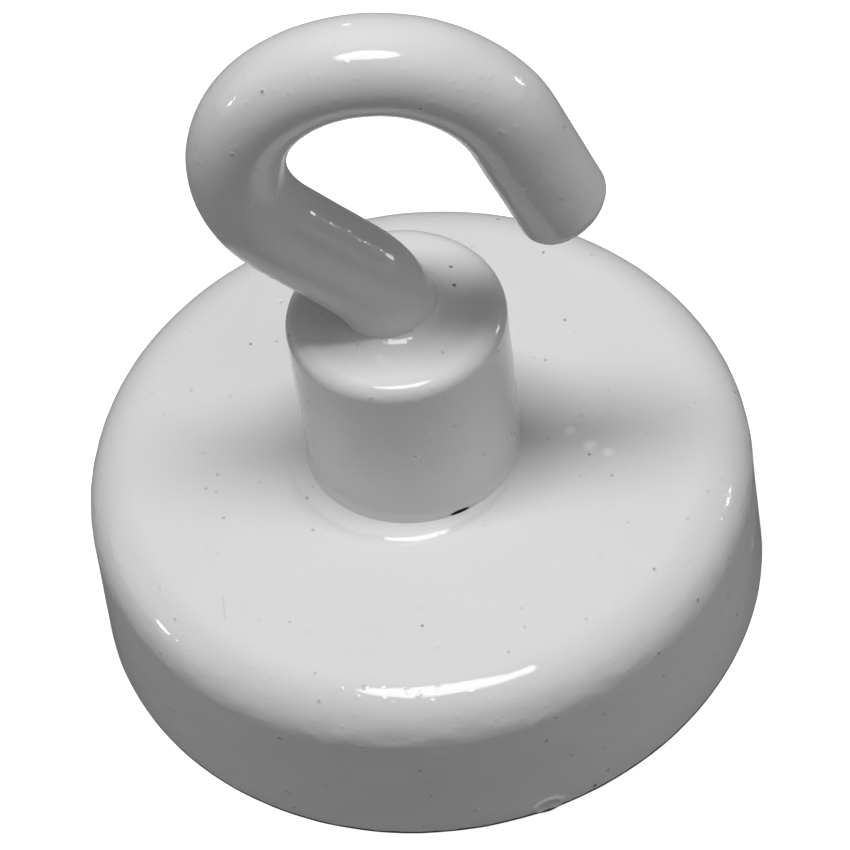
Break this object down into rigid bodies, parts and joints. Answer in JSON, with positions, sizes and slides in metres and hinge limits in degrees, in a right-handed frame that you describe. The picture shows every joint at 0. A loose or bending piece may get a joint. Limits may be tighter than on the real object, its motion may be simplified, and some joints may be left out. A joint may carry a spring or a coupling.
{
  "type": "hook pot magnet",
  "caption": "Enamelled round pot magnet with a flat holding face, a turned boss and an open round hook that screws into it.",
  "frame": {"origin": "centre of the magnet's holding face, at the plane of the pot's ground rim", "axes": "+Z from the holding face towards the hook, along the thread's axis; the hook is bent close to the XZ plane, leaning 1.7 degrees from it towards -Y, and its mouth opens towards +X"},
  "size_m": [0.0254, 0.0254, 0.0291],
  "materials": {
    "enamel": "gloss",
    "steel": "satin",
    "ferrite": "matte",
    "resin": "satin"
  },
  "bodies": {
    "magnet_base": {"pot_shell": "steel", "threaded_boss": "steel", "ferrite_ring": "ferrite", "magnet_adhesive": "resin", "gap_resin": "resin", "centre_resin": "resin", "pot_enamel": "enamel", "boss_enamel": "enamel"},
    "neck_bead": {"neck_collar": "enamel"},
    "screw_hook": {"hook": "steel", "hook_enamel": "enamel"}
  },
  "joints": [
    {"name": "thread_rise", "type": "slide", "parent": "magnet_base", "child": "neck_bead", "axis": [0, 0, 1], "range_m": [0, 0.0063]},
    {"name": "thread_turn", "type": "hinge", "parent": "neck_bead", "child": "screw_hook", "pos_m": [0, 0, 0.0139], "axis": [0, 0, 1], "range_deg": [0, 3241]}
  ],
  "couplings": [
    {"joint": "thread_turn", "follows": "thread_rise", "rad_per_m": 8976}
  ]
}
